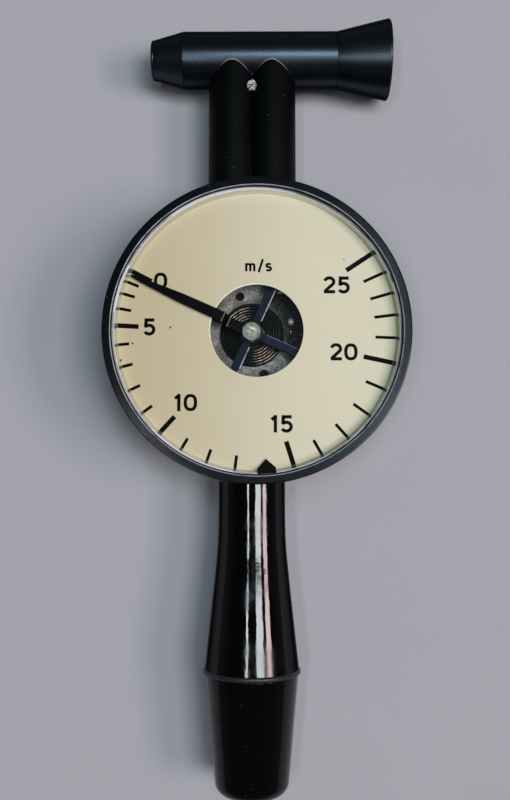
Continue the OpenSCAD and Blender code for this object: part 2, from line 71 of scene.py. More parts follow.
# %% [markdown]
# ## Sizes that the frame gives
#
# New pieces have to sit exactly on the solids, so their levels and radii are read from the frame
# and not typed in again. A box's corners are enough for a round part: half its width is its radius.
# The case and its dial stand a little to the right of the rotor's axis, which is where x is 0.

# %% Levels and radii
def low(node):
    """Lowest corner of a solid, in millimetres."""
    return np.array(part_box(node)[0]) / MM


def high(node):
    """Highest corner of a solid, in millimetres."""
    return np.array(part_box(node)[1]) / MM


case_x = (low("bezel")[0] + high("bezel")[0]) / 2
rim_r = high("bezel")[0] - case_x
rim_z = high("bezel")[2]
skirt_z = low("bezel")[2]
dial_z = high("dial_plate")[2]
crystal_z = high("crystal")[2]
carrier_z = high("spring_carrier")[2]
cross_low, cross_high = low("pointer_cross")[2], high("pointer_cross")[2]
pointer_low, pointer_high = low("pointer")[2], high("pointer")[2]
spring_low, spring_high = low("hairspring")[2], high("hairspring")[2]
head_x0, head_x1 = low("head_tube")[0], high("head_tube")[0]
head_y = (low("inlet_nozzle")[1] + high("inlet_nozzle")[1]) / 2
head_z = (low("inlet_nozzle")[2] + high("inlet_nozzle")[2]) / 2
head_r = (high("inlet_nozzle")[2] - low("inlet_nozzle")[2]) / 2
pipe_r = (high("outlet_pipe")[2] - low("outlet_pipe")[2]) / 2
pipe_x = high("outlet_pipe")[0] - pipe_r
handle_z = (low("handle_ring")[2] + high("handle_ring")[2]) / 2
ring_r = high("handle_ring")[0]
POINTER_ANGLE = math.radians(155.5)
print(f"bezel {2 * rim_r:.1f} mm across, dial at {dial_z:.2f} mm, head tube {2 * head_r:.2f} mm across")

# %% [markdown]
# ## The camera
#
# The photograph looks straight down from arm's length, a little from below the dial, as a phone
# held over a table does. A camera is a place, a point it looks at and a lens. Near the vertical
# "up" is unclear, so its sideways axis is built from the object's own long direction instead.

# %% Camera
CAMERA_AT = Vector((3.2, -47.3, 325.8)) * MM
CAMERA_AIM = Vector((0.9, -19.8, 0.0)) * MM
FOCAL_PX = 900
LONG_SIDE_PX = 800
SENSOR = 36.0

camera_data = bpy.data.cameras.new("camera")
camera_data.sensor_width = SENSOR
camera_data.lens = SENSOR * FOCAL_PX / LONG_SIDE_PX
camera_data.clip_start = 0.01
camera_data.clip_end = 20
camera = bpy.data.objects.new("camera", camera_data)
bpy.context.scene.collection.objects.link(camera)
bpy.context.scene.camera = camera
camera_back = (CAMERA_AT - CAMERA_AIM).normalized()
camera_right = Vector((0, 1, 0)).cross(camera_back).normalized()
camera_axes = Matrix((camera_right, camera_back.cross(camera_right), camera_back)).transposed()
camera.matrix_world = Matrix.Translation(CAMERA_AT) @ camera_axes.to_4x4()
print(f"lens {camera_data.lens:.1f} mm, {CAMERA_AT.z / MM:.0f} mm above the floor")

# %% [markdown]
# ## Lights, room and view
#
# Black pieces are shaped by what they mirror. Two windows far off on the right draw the two broad bands
# that run down the polished handle, and a narrow strip above it draws the thin line beside them. Each
# is given by the directions it fills as seen from the handle. A small panel 0.8 m above the head lays
# the soft band along its tube. The rest of the room is dark overhead and a little lighter at the
# horizon, which keeps the sides of the black pieces from vanishing.

# %% View, lights and room
bpy.context.scene.view_settings.view_transform = "Standard"


def softbox(name, at, aim, size, radiance, colour):
    """A rectangular lamp at a place in metres that faces aim. Its power is radiance times pi times area."""
    data = bpy.data.lights.new(name, "AREA")
    data.shape = "RECTANGLE"
    data.size, data.size_y = size
    data.energy = radiance * math.pi * size[0] * size[1]
    data.color = colour
    lamp = bpy.data.objects.new(name, data)
    bpy.context.scene.collection.objects.link(lamp)
    backward = (at - aim).normalized()
    across = Vector((0, 1, 0)).cross(backward).normalized()
    axes = Matrix((across, backward.cross(across), backward)).transposed()
    lamp.matrix_world = Matrix.Translation(at) @ axes.to_4x4()
    return lamp


HANDLE_MIDDLE = Vector((0, -0.08, 0.03))


def window(name, sideways, lengthways, distance, radiance, colour):
    """A softbox that fills two ranges of angles from the vertical, in degrees, as seen from the handle."""
    across = math.radians(sum(sideways) / 2)
    along = math.radians(sum(lengthways) / 2)
    at = HANDLE_MIDDLE + distance * Vector((math.sin(across), math.tan(along), math.cos(across)))
    width = 2 * distance * math.tan(math.radians(sideways[1] - sideways[0]) / 2)
    length = 2 * distance * math.tan(math.radians(lengthways[1] - lengthways[0]) / 2)
    return softbox(name, at, HANDLE_MIDDLE, (width, length), radiance, colour)


LENGTHWAYS = (-15.0, 5.0)
window("window_white", (12.0, 30.2), LENGTHWAYS, 6.0, 14.0, (0.94, 0.97, 1.0))
window("window_warm", (38.0, 50.5), LENGTHWAYS, 6.0, 14.5, (1.0, 0.78, 0.79))
window("strip_left", (-14.2, -10.0), LENGTHWAYS, 1.0, 17.0, (0.92, 0.98, 1.0))

HEAD_MIDDLE = Vector((0, 0.1, 0))
PANEL_AT, PANEL_SIZE = Vector((0.054, 0.115, 0.825)), (0.166, 0.20)
softbox("panel_above", PANEL_AT, HEAD_MIDDLE, PANEL_SIZE, 12.5, (0.62, 0.80, 1.0))

HORIZON = (0.0, (0.12, 0.125, 0.135, 1))
OVERHEAD = (0.6, (0.030, 0.034, 0.040, 1))
world = bpy.data.worlds.new("room")
bpy.context.scene.world = world
world.use_nodes = True
room = world.node_tree
direction = room.nodes.new("ShaderNodeTexCoord")
height = room.nodes.new("ShaderNodeSeparateXYZ")
shade = room.nodes.new("ShaderNodeValToRGB")
for stop, (level, colour) in zip(shade.color_ramp.elements, (HORIZON, OVERHEAD)):
    stop.position = level
    stop.color = colour
room.links.new(direction.outputs["Generated"], height.inputs[0])
room.links.new(height.outputs["Z"], shade.inputs["Fac"])
room.links.new(shade.outputs["Color"], room.nodes["Background"].inputs["Color"])

# %% [markdown]
# ## Shader sums as Python sums
#
# A finish is mostly arithmetic: this much dust where that noise is high. Wiring Math nodes by hand
# hides the formula, so a small class lets Python write it. Each sign between two wires adds one Math
# node.

# %% Wires
class Wire:
    """One output of a node that Python can calculate with."""

    def __init__(self, paint, socket):
        self.paint = paint
        self.socket = socket

    def math(self, operation, first, second=0.0):
        return self.paint.node("ShaderNodeMath", {"operation": operation}, {0: first, 1: second})

    def __add__(self, other):
        return self.math("ADD", self, other)

    def __radd__(self, other):
        return self.math("ADD", other, self)

    def __sub__(self, other):
        return self.math("SUBTRACT", self, other)

    def __rsub__(self, other):
        return self.math("SUBTRACT", other, self)

    def __mul__(self, other):
        return self.math("MULTIPLY", self, other)

    def __rmul__(self, other):
        return self.math("MULTIPLY", other, self)

    def __truediv__(self, other):
        return self.math("DIVIDE", self, other)

    def __rtruediv__(self, other):
        return self.math("DIVIDE", other, self)

    def __pow__(self, other):
        return self.math("POWER", self, other)

    def __abs__(self):
        return self.math("ABSOLUTE", self)

    def __lt__(self, other):
        return self.math("LESS_THAN", self, other)

    def __gt__(self, other):
        return self.math("GREATER_THAN", self, other)


print("wires know + - * / ** abs < >")

# %% [markdown]
# ## Paints
#
# A paint is one material with one shader. Its methods are the few patterns that every finish here is
# mixed from: cloudy noise, round specks, smooth steps and bumps. Colours are mixed by a Mix node,
# because a Math node would turn them grey. All patterns use the point's own place on the piece, so they
# stay on it when it moves.

# %% Paints
class Paint:
    """A material with one Principled shader, fed by wires. paint["Roughness"] = 0.4 sets a socket."""

    def __init__(self, name, fixed=None):
        self.material = bpy.data.materials.new(name)
        self.material.use_nodes = True
        self.tree = self.material.node_tree
        self.shader = self.tree.nodes["Principled BSDF"]
        for socket, value in (fixed or {}).items():
            self[socket] = value

    def __setitem__(self, socket, value):
        self.feed(self.shader.inputs[socket], value)

    def feed(self, socket, value):
        """Links a wire to a socket, or sets its value. A colour of three numbers gets its alpha."""
        if isinstance(value, Wire):
            self.tree.links.new(value.socket, socket)
        elif socket.type == "RGBA" and len(value) == 3:
            socket.default_value = (*value, 1.0)
        else:
            socket.default_value = value

    def node(self, kind, settings, inputs, out=0):
        """Adds a node: its settings, then a value or a wire for each input. Returns one output."""
        made = self.tree.nodes.new(kind)
        for name, value in settings.items():
            setattr(made, name, value)
        for key, value in inputs.items():
            self.feed(made.inputs[key], value)
        return Wire(self, made.outputs[out])

    def place(self):
        """The point on the piece, in millimetres of the object's frame."""
        point = self.node("ShaderNodeTexCoord", {}, {}, "Object")
        return self.node("ShaderNodeVectorMath", {"operation": "SCALE"}, {0: point, "Scale": 1 / MM})

    def xyz(self, vector):
        """The three numbers of a vector."""
        first = self.node("ShaderNodeSeparateXYZ", {}, {0: vector})
        return [Wire(self, first.socket.node.outputs[i]) for i in range(3)]

    def noise(self, where, per_mm, detail=2.0, rough=0.5):
        """Cloudy noise from 0 to 1 with this many lumps in a millimetre."""
        inputs = {"Vector": where, "Scale": per_mm, "Detail": detail, "Roughness": rough}
        return self.node("ShaderNodeTexNoise", {}, inputs)

    def stretched(self, where, x, y, z):
        """The point with each direction scaled, so that a pattern on it runs in lines."""
        return self.node("ShaderNodeVectorMath", {"operation": "MULTIPLY"}, {0: where, 1: (x, y, z)})

    def specks(self, where, per_mm, size):
        """1 inside small round specks, whose size is a share of their spacing, and 0 elsewhere."""
        near = self.node("ShaderNodeTexVoronoi", {}, {"Vector": where, "Scale": per_mm})
        return near < size

    def ramp(self, value, start, end):
        """0 below start, 1 above end and a smooth rise between them. start may be the larger."""
        limits = {"Value": value, "From Min": start, "From Max": end}
        return self.node("ShaderNodeMapRange", {"interpolation_type": "SMOOTHSTEP"}, limits)

    def mix(self, share, first, second):
        """The first colour where share is 0 and the second where it is 1."""
        return self.node("ShaderNodeMix", {"data_type": "RGBA"}, {0: share, 6: first, 7: second}, 2)

    def hypot(self, a, b):
        """Distance from the origin of a point at a, b."""
        return (a * a + b * b) ** 0.5

    def bump(self, height, depth_mm):
        """Bends the surface by a height from 0 to 1 times a depth in millimetres."""
        self["Normal"] = self.node("ShaderNodeBump", {}, {"Distance": depth_mm * MM, "Height": height})


def coat(paint, *nodes):
    """Puts a finished paint on solids of the frame."""
    for node in nodes:
        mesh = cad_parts[node].data
        mesh.materials.clear()
        mesh.materials.append(paint.material)


def grey(level):
    """A neutral colour of one linear level."""
    return (level, level, level)


print("paints can be mixed for", len(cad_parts), "solids")

# %% [markdown]
# ## Surfaces worked out with numpy
#
# Every new piece here is a grid of points: rows along a path or an outline, columns around it. Numpy
# works out the whole grid at once, neighbours in it become faces, and one helper closes the seams,
# turns the faces outwards and keeps edges crisp where two faces meet at more than a small angle. Where
# an outline ran along its own axis, a bare wire is left, which the helper takes away.

# %% Grids and pieces
def grid_faces(rows, columns, loop_rows=False, loop_columns=False):
    """Each face joins the points at row i and i+1, column j and j+1 of a grid. A looped side is closed."""
    index = np.arange(rows * columns).reshape(rows, columns)
    if loop_rows:
        index = np.vstack([index, index[:1]])
    if loop_columns:
        index = np.hstack([index, index[:, :1]])
    corners = [index[:-1, :-1], index[1:, :-1], index[1:, 1:], index[:-1, 1:]]
    return np.stack(corners, -1).reshape(-1, 4)


def piece(name, points, faces, paint, body, sharp=30.0):
    """Makes a mesh of points in millimetres, closed, facing outwards and smooth below the sharp angle."""
    mesh = bpy.data.meshes.new(name)
    faces = faces.tolist() if isinstance(faces, np.ndarray) else faces
    mesh.from_pydata((points.reshape(-1, 3) * MM).tolist(), [], faces)
    work = bmesh.new()
    work.from_mesh(mesh)
    bmesh.ops.remove_doubles(work, verts=work.verts, dist=1e-7)
    wires = [edge for edge in work.edges if not edge.link_faces]
    bmesh.ops.delete(work, geom=wires, context="EDGES")
    bmesh.ops.recalc_face_normals(work, faces=work.faces)
    work.to_mesh(mesh)
    work.free()
    mesh.shade_smooth()
    mesh.set_sharp_from_angle(angle=math.radians(sharp))
    mesh.materials.append(paint.material)
    made = bpy.data.objects.new(name, mesh)
    bpy.context.scene.collection.objects.link(made)
    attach(made, body)
    print(f"{name}: {len(mesh.polygons)} faces")
    return made


print("the faces of a tube with four sides:", grid_faces(2, 4, loop_columns=True).tolist())

# %% [markdown]
# ## Turned pieces
#
# Most of the instrument was made on a lathe, so most new pieces are an outline carried round an axis.
# A turned edge is never quite sharp, and its small rounding is what catches the light. So an outline
# is written as its corners, each with its own radius, and a function puts the arcs in.

# %% Outlines and lathe
GUARD_SHARE = 0.2


def rounded(corners, radii, steps=5):
    """A closed outline with an arc of its radius at each corner, tangent to both of its sides. A point just
    before and after each arc keeps the shading of the straight parts flat."""
    corners = np.asarray(corners, float)
    outline = []
    for i, radius in enumerate(radii):
        here = corners[i]
        before = corners[i - 1] - here
        after = corners[(i + 1) % len(corners)] - here
        before /= np.linalg.norm(before)
        after /= np.linalg.norm(after)
        half = math.acos(np.clip(before @ after, -1, 1)) / 2
        centre = here + (before + after) / np.linalg.norm(before + after) * radius / math.sin(half)
        start = here + before * radius / math.tan(half) - centre
        end = here + after * radius / math.tan(half) - centre
        share = np.linspace(0, 1, steps + 1)[:, None]
        turn = math.pi - 2 * half
        swing = np.sin((1 - share) * turn) * start + np.sin(share * turn) * end
        guard = GUARD_SHARE * radius
        outline.append([centre + start + guard * before])
        outline.append(centre + swing / math.sin(turn))
        outline.append([centre + end + guard * after])
    return np.vstack(outline)


def turned(outline, origin, axis, steps):
    """Points of an outline of (distance along the axis, radius) carried round it:
    origin + distance * axis + radius * (cos t * side + sin t * up), for t round a full circle."""
    axis = np.asarray(axis, float)
    side = np.array([0.0, 0.0, 1.0]) if abs(axis[2]) < 0.5 else np.array([1.0, 0.0, 0.0])
    up = np.cross(axis, side)
    t = np.linspace(0, 2 * math.pi, steps, endpoint=False)
    spoke = np.cos(t)[:, None] * side + np.sin(t)[:, None] * up
    outline = np.asarray(outline, float)
    return np.asarray(origin) + outline[:, None, :1] * axis + outline[:, None, 1:] * spoke


def lathe(name, outline, origin, axis, paint, body, sharp=30.0, steps=128):
    """A turned piece whose outline is a closed loop, as on a ring or a bored part."""
    points = turned(outline, origin, axis, steps)
    faces = grid_faces(len(points), steps, loop_rows=True, loop_columns=True)
    return piece(name, points, faces, paint, body, sharp)


sample = rounded([(0, 1), (0, 2), (1, 2), (1, 1)], [0.1] * 4)
print(f"a square outline with round corners has {len(sample)} points")

# %% [markdown]
# ## Flat strokes
#
# The printed marks and figures are flat strokes of one width. A stroke is a path with a left and a
# right side, and it gets a top and a bottom so that it is a closed solid like every other piece.

# %% Slabs
def slabs(paths, half_width, z0, z1):
    """Flat strokes of one thickness: each path of points (x, y) is widened by half_width to both sides,
    square to its own direction, and given a top at z1 and a bottom at z0. Returns points and faces."""
    points, faces, count = [], [], 0
    for path in paths:
        along = np.gradient(path, axis=0)
        along /= np.linalg.norm(along, axis=1)[:, None]
        across = np.stack([-along[:, 1], along[:, 0]], 1) * half_width
        sides = ((1, z1), (-1, z1), (-1, z0), (1, z0))
        grid = np.stack([np.c_[path + s * across, np.full(len(path), z)] for s, z in sides], 1)
        ends = np.array([range(4), range(4 * len(path) - 4, 4 * len(path))])
        points.append(grid.reshape(-1, 3))
        faces.append(np.vstack([grid_faces(len(path), 4, loop_columns=True), ends]) + count)
        count += 4 * len(path)
    return np.vstack(points), np.vstack(faces)


sample, sample_faces = slabs([np.array([[0.0, 0.0], [1.0, 0.0], [2.0, 0.0]])], 0.1, 0, 0.1)
print(f"a stroke of 3 places has {len(sample)} points and {len(sample_faces)} faces")

# %% [markdown]
# ## The floor
#
# The instrument lies on a plain pale table. A large flat square is all it needs, with a trace of
# unevenness in its colour so that it doesn't look like paper cut out by a computer.

# %% Floor
FLOOR_HALF = 3000.0
FLOOR_GREY = (0.40, 0.40, 0.42)
table_paint = Paint("pale_table", {"Roughness": 0.85})
cloud = table_paint.noise(table_paint.place(), 0.012, 3.0)
table_paint["Base Color"] = table_paint.mix(cloud * 0.5, FLOOR_GREY, tuple(0.88 * c for c in FLOOR_GREY))
corner = np.array([[-1, -1, 0], [1, -1, 0], [1, 1, 0], [-1, 1, 0]], float) * FLOOR_HALF
floor_mesh = bpy.data.meshes.new("floor")
floor_mesh.from_pydata((corner * MM).tolist(), [], [[0, 1, 2, 3]])
floor_mesh.materials.append(table_paint.material)
floor = bpy.data.objects.new("floor", floor_mesh)
bpy.context.scene.collection.objects.link(floor)
floor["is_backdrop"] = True
print("floor", 2 * FLOOR_HALF * MM, "m wide")

# %% [markdown]
# ## Satin black mouldings
#
# The case, the head and the two pipes are moulded in black plastic with a fine satin skin. Three
# things keep such a black from looking like a hole: the skin's fine grain, a thin uneven film of dust
# that greys it, and a roughness that changes a little from place to place. One function mixes them,
# and each moulding gives it its own black. A shader's gloss always glares where a surface turns away,
# more than the head and the grip really do, so a second function holds that glare back.

# %% Satin black paint
def satin(name, black, roughness, dust=0.5, grain_mm=0.012, level=0.4):
    """A satin black: black, greyed by dust in soft clouds, with a fine grain and rare pale specks."""
    paint = Paint(name, {"Specular IOR Level": level})
    where = paint.place()
    film = paint.ramp(paint.noise(where, 0.06, 4.0, 0.6), 0.35, 0.75) * dust
    fine = paint.noise(where, 3.0, 2.0)
    fleck = paint.specks(where, 0.28, 0.05)
    dusty = tuple(c * 1.5 + 0.004 for c in black)
    paint.colour = paint.mix(fleck * 0.25, paint.mix(film, black, dusty), grey(0.30))
    paint["Base Color"] = paint.colour
    paint["Roughness"] = roughness + film * 0.06 + fine * 0.04
    paint.bump(fine, grain_mm)
    return paint


def hold_glare(paint, share, metal=1.0):
    """Makes a black mirror hardly more at its edges than at its middle. A dark metal can do that: its base
    colour is then what it mirrors head-on, and its tint the share of full glare that is left edge-on."""
    paint["Metallic"] = metal
    paint["Specular Tint"] = grey(share)


case_paint = satin("case_moulding", (0.0045, 0.005, 0.006), 0.42)
coat(case_paint, "case_body")
print("satin black on the case")

# %% [markdown]
# ## The head, with its seams and painted saddle highlights
#
# The nozzle, the tube and the bell are three mouldings in one line, so a fine dark line shows where
# they meet. The two pipes run into the tube's side like pipes into a header, and a painted highlight
# runs along the thin edge of each saddle. Both marks lie where two surfaces meet, so the paint finds them
# by distance: from a plane for a seam, from the other cylinder for a saddle, whose painted highlight runs
# between two places counted from its own pipe's middle.

# %% Head and pipes
SEAM_HALF = 0.12
EDGE_WIDTH = 0.10
SADDLE_LIT_FROM, SADDLE_LIT_TO = (-6.0, -1.0), (6.5, 4.0)

head_paint = satin("head_moulding", (0.042, 0.050, 0.058), 0.25, 0.3, 0.0025)
hold_glare(head_paint, 0.15, 0.95)
x, y, z = head_paint.xyz(head_paint.place())
seam = (abs(x - head_x0) < SEAM_HALF) + (abs(x - head_x1) < SEAM_HALF)
head_paint["Base Color"] = head_paint.mix(seam * 0.8, head_paint.colour, grey(0.004))
coat(head_paint, "head_tube", "inlet_nozzle", "outlet_bell")

pipe_paint = satin("pipe_moulding", (0.0010, 0.0018, 0.0018), 0.42, 0.2, 0.008, 0.06)
x, y, z = pipe_paint.xyz(pipe_paint.place())
depth = abs(pipe_paint.hypot(y - head_y, z - head_z) - head_r)
beside = x - ((x > 0.0) * 2.0 - 1.0) * pipe_x
# painted highlight along each saddle's edge, only between two places beside its pipe's middle
worn = (depth < EDGE_WIDTH) * pipe_paint.ramp(beside, *SADDLE_LIT_FROM) * pipe_paint.ramp(beside, *SADDLE_LIT_TO)
pipe_paint["Base Color"] = pipe_paint.mix(worn * 0.9, pipe_paint.colour, (0.33, 0.36, 0.37))
coat(pipe_paint, "inlet_pipe", "outlet_pipe")
coat(satin("septum_moulding", (0.006, 0.006, 0.007), 0.6), "head_septum")
print("seams at", round(head_x0, 1), "and", round(head_x1, 1), "mm")

# %% [markdown]
# ## The bezel
#
# The bezel is a turned ring in black enamel that screws over the case. A painted highlight, grey and
# broken by noise, lies along its inner lip and draws the thin light circle round the dial. An outline
# carried round the axis gives every edge its own rounding, which a scaled torus could not.

# %% Bezel ring
CASE_ORIGIN = (case_x, 0, 0)
LIP_R, LIP_T, SKIRT_T = 47.2, 1.1, 1.35
LIP_HIGHLIGHT_WIDTH, LIP_HIGHLIGHT_DEPTH = 0.28, 0.6
skirt_r = rim_r - SKIRT_T
flange_z = rim_z - LIP_T
bezel_corners = [(skirt_z, skirt_r), (skirt_z, rim_r), (rim_z, rim_r), (rim_z, LIP_R), (flange_z, LIP_R),
                 (flange_z, skirt_r)]
bezel_radii = [0.3, 0.3, 0.4, 0.25, 0.05, 0.05]
bezel_paint = satin("bezel_enamel", (0.0014, 0.0020, 0.0028), 0.13, 0.3, 0.012, 0.27)
x, y, z = bezel_paint.xyz(bezel_paint.place())
radius = bezel_paint.hypot(x - case_x, y)
# painted highlight on the inner lip: grey where this noise is high, in a thin ring at the top
lip_highlight_noise = bezel_paint.noise(bezel_paint.place(), 0.15, 3.0)
lip_highlight = (radius < LIP_R + LIP_HIGHLIGHT_WIDTH) * (z > rim_z - LIP_HIGHLIGHT_DEPTH) * bezel_paint.ramp(lip_highlight_noise, 0.25, 0.55)
bezel_paint["Base Color"] = bezel_paint.mix(lip_highlight * 0.9, bezel_paint.colour, (0.33, 0.35, 0.36))
bezel_ring = lathe("bezel_ring", rounded(bezel_corners, bezel_radii), CASE_ORIGIN, (0, 0, 1), bezel_paint,
                   "case", 35, 192)
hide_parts("bezel")

# %% [markdown]
# ## The crystal and its gasket
#
# A clear acrylic disc covers the dial. Glass that bends light would also stop the lamps and leave the
# dial in shade, so this paint lets most light straight through and adds a mirror. The mirror's share is
# the fifth power of 1 - cos a, with a the angle away from looking square on, as for any flat pane. A
# Fresnel node would not do: behind the pane's rear face it turns into a full mirror beyond 50 degrees.
# The gasket is a black rubber bead that fills the gap to the bezel's lip.

# %% Crystal and gasket
HEAD_ON_SHARE = 0.0003
clear_paint = Paint("clear_crystal", {"Base Color": (0.90, 0.93, 0.90), "Metallic": 1.0, "Roughness": 0.16})
see = clear_paint.node("ShaderNodeBsdfTransparent", {}, {"Color": (0.985, 0.99, 0.975)})
grazing = clear_paint.node("ShaderNodeLayerWeight", {}, {"Blend": 0.5}, "Facing")
mirror = Wire(clear_paint, clear_paint.shader.outputs[0])
surface = clear_paint.node("ShaderNodeMixShader", {}, {0: grazing**5 + HEAD_ON_SHARE, 1: see, 2: mirror})
clear_paint.feed(clear_paint.tree.nodes["Material Output"].inputs["Surface"], surface)
coat(clear_paint, "crystal")

rubber_paint = satin("black_rubber", (0.002, 0.002, 0.002), 0.7, 0.1, 0.01, 0.1)
BEAD_R, BEAD_GAP, BEAD_SINK = 0.21, 0.02, 0.22
bead_ring = LIP_R - BEAD_GAP - BEAD_R
angle = np.linspace(0, 2 * math.pi, 14, endpoint=False)
bead = np.c_[crystal_z - BEAD_SINK + BEAD_R * np.sin(angle), bead_ring + BEAD_R * np.cos(angle)]
gasket = lathe("gasket_bead", bead, CASE_ORIGIN, (0, 0, 1), rubber_paint, "case", 180, 192)
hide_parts("crystal_gasket")
coat(rubber_paint, "pipe_seals")
print(f"gasket bead {2 * BEAD_R:.2f} mm thick")

# %% [markdown]
# ## The dial
#
# The dial is sheet metal in matt cream enamel, warm and a little darker on the left, paler and greener
# towards the right, with a few dark specks. A painted olive shade lies along its edge on the right, where
# the wall shades it, and a painted highlight runs along the cut edge of its centre hole at the upper left.
# All of it follows the place on the dial, so the paint works from the point's own coordinates.

# %% Cream enamel
HOLE_R, HOLE_HIGHLIGHT_WIDTH = 15.25, 0.35
EDGE_SHADE_FROM, EDGE_SHADE_TO = 43.2, 45.6
CREAM_WARM = (0.560, 0.463, 0.300)
CREAM_GREEN = (0.735, 0.688, 0.532)
OLIVE_SHADE = (0.16, 0.17, 0.09)
DARK_SPECKS = ((-26.5, 1.0, 0.35), (-38.8, -4.2, 0.35), (-42.6, -9.8, 0.45), (30.3, 23.5, 0.25))

dial_paint = Paint("cream_enamel", {"Specular IOR Level": 0.3})
where = dial_paint.place()
x, y, z = dial_paint.xyz(where)
across = dial_paint.ramp(x, -42.0, 30.0)
blotch = dial_paint.noise(where, 0.05, 3.0)
fine = dial_paint.noise(where, 2.2, 3.0)
cream = dial_paint.mix(across * 0.9 + blotch * 0.2 - 0.1, CREAM_WARM, CREAM_GREEN)
radius = dial_paint.hypot(x - case_x, y)
# painted shade: the olive shadow of the wall along the dial's edge on the right
edge_shade = dial_paint.ramp(radius, EDGE_SHADE_FROM, EDGE_SHADE_TO) * dial_paint.ramp(x * 0.9 - y * 0.2, -5.0, 38.0)
cream = dial_paint.mix(edge_shade * 0.40, cream, OLIVE_SHADE)
speck = 0.0
for speck_x, speck_y, size in DARK_SPECKS:
    speck = (dial_paint.hypot(x - speck_x, y - speck_y) < size) + speck
cream = dial_paint.mix(speck, cream, (0.05, 0.035, 0.02))
# painted highlight along the cut edge of the centre hole, at its upper left
hole_highlight = (radius < HOLE_R + HOLE_HIGHLIGHT_WIDTH) * dial_paint.ramp(y - x, 2.0, 16.0)
cream = dial_paint.mix(hole_highlight * 0.8, cream, (0.95, 0.93, 0.84))
dial_paint["Base Color"] = dial_paint.mix(fine * 0.12, cream, (0.42, 0.38, 0.26))
dial_paint["Roughness"] = 0.55 + fine * 0.15
dial_paint.bump(fine, 0.008)
coat(dial_paint, "dial_plate")
print("dial with", len(DARK_SPECKS), "specks")

# %% [markdown]
# ## The pale wall round the dial
#
# The wall between dial and crystal is a ring with a polished face that mirrors the ends of the marks.
# A painted olive shade darkens its foot on the right, and its upper brink is matt. A metal shader mirrors
# best, so the face is mostly metal and the brink mostly enamel. The small black tab at the dial's foot is
# matt.

# %% Wall and tab
SHADED_FOOT_TOP, SHADED_FOOT_LOW = dial_z + 3.4, dial_z + 2.2
BRINK_R = 46.3

wall_paint = Paint("cream_wall")
where = wall_paint.place()
x, y, z = wall_paint.xyz(where)
# painted shade: the foot of the wall turns olive towards its right side
foot = wall_paint.ramp(z, SHADED_FOOT_TOP, SHADED_FOOT_LOW) * wall_paint.ramp(x * 0.9 - y * 0.3, -8.0, 34.0)
pale = wall_paint.mix(wall_paint.noise(where, 0.12, 3.0), (0.76, 0.78, 0.74), (0.70, 0.73, 0.68))
pale = wall_paint.mix(foot * 0.60, pale, OLIVE_SHADE)
brink = wall_paint.hypot(x - case_x, y) > BRINK_R
wall_paint["Base Color"] = wall_paint.mix(brink, pale, (0.80, 0.78, 0.86))
wall_paint["Metallic"] = 0.85 - brink * 0.65
wall_paint["Roughness"] = 0.06 + brink * 0.40
coat(wall_paint, "spacer_ring")

coat(satin("tab_black", (0.002, 0.002, 0.002), 0.6, 0.3, 0.01, 0.05), "index_tab")
print(f"wall matt beyond {BRINK_R} mm")

# %% [markdown]
# ## The printed scale
#
# A vane against a spring turns little at first and then evenly, so the marks crowd together near
# zero. The angles of six labelled marks were measured, and a smooth curve through them gives every
# unit between. The marks are thin slabs of ink that stand three hundredths of a millimetre proud, so
# they stay sharp from any distance. The print's centre is near the rotor's axis, a little left of the
# case's, so the marks on the right are longer. The first mark would run into zero's and the tab stands
# where the fourteenth would be, so these two aren't printed.

# %% Scale marks
PRINT_CENTRE = np.array([0.2, -0.8])
ZERO_ANGLE = 152.6
MAJOR_SPEEDS = np.array([0.0, 5.0, 10.0, 15.0, 20.0, 25.0])
MAJOR_SWEEPS = np.array([0.0, 24.2, 74.9, 134.7, 195.2, 241.1])
UNMARKED = (1, 14)
MAJOR_INNER, MINOR_INNER = 37.1, 40.2
MAJOR_WIDTH, MINOR_WIDTH = 1.55, 1.0
MARK_OUTER = 45.45
INK, INK_ROOT = 0.03, 0.02

ink_paint = Paint("printing_ink", {"Specular IOR Level": 0.03})
worn_ink = ink_paint.noise(ink_paint.place(), 1.2, 3.0)
ink_paint["Base Color"] = ink_paint.mix(worn_ink, (0.002, 0.0015, 0.0015), (0.005, 0.004, 0.0035))
ink_paint["Roughness"] = 0.5 + worn_ink * 0.2


def sweep(speed):
    """Degrees from zero at a wind speed: a cubic between two labelled marks that leaves each with the
    slope of the chord between its neighbours, and leaves zero with no slope at all."""
    step = MAJOR_SPEEDS[1]
    slope = np.gradient(MAJOR_SWEEPS, step)
    slope[0] = 0
    i = np.clip((speed // step).astype(int), 0, len(MAJOR_SPEEDS) - 2)
    t = speed / step - i
    ahead = 3 * t**2 - 2 * t**3
    ends = (1 - ahead) * MAJOR_SWEEPS[i] + ahead * MAJOR_SWEEPS[i + 1]
    return ends + step * ((t**3 - 2 * t**2 + t) * slope[i] + (t**3 - t**2) * slope[i + 1])


def mark(speed, inner):
    """The line of one mark: out along the print's own radius, up to the circle where the wall starts."""
    turn = math.radians(ZERO_ANGLE + sweep(np.array([float(speed)]))[0])
    outward = np.array([math.cos(turn), math.sin(turn)])
    start = PRINT_CENTRE + inner * outward
    aside = PRINT_CENTRE - (case_x, 0)
    lean = aside @ outward
    reach = -lean + math.sqrt(lean**2 - aside @ aside + MARK_OUTER**2)
    return np.stack([start, PRINT_CENTRE + reach * outward])


majors = [mark(v, MAJOR_INNER) for v in range(0, 26, 5)]
minors = [mark(v, MINOR_INNER) for v in range(26) if v % 5 and v not in UNMARKED]
ink_low, ink_high = dial_z - INK_ROOT, dial_z + INK
major_points, major_faces = slabs(majors, MAJOR_WIDTH / 2, ink_low, ink_high)
minor_points, minor_faces = slabs(minors, MINOR_WIDTH / 2, ink_low, ink_high)
piece("scale_major_marks", major_points, major_faces, ink_paint, "case")
piece("scale_minor_marks", minor_points, minor_faces, ink_paint, "case")

